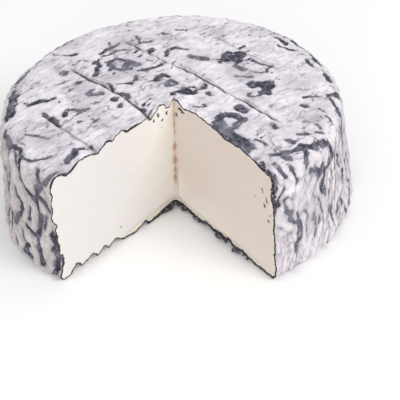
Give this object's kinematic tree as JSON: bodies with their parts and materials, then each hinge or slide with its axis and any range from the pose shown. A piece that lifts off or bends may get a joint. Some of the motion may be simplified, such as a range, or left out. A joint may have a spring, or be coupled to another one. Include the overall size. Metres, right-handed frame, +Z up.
{
  "type": "cheese wheel",
  "caption": "Low round wheel of soft cheese with a mottled ash rind and one wedge cut out, showing the pale paste.",
  "frame": {"origin": "middle of the wheel's outline, on the surface that it stands on", "axes": "+Z up; the cut-out opens towards +X and -Y; the creases of the drying mat run along X"},
  "size_m": [0.14, 0.1524, 0.0565],
  "materials": {
    "rind": "dry white mould over dark ash"
  },
  "bodies": {
    "root": {"cheese_wheel": "rind"}
  },
  "joints": []
}
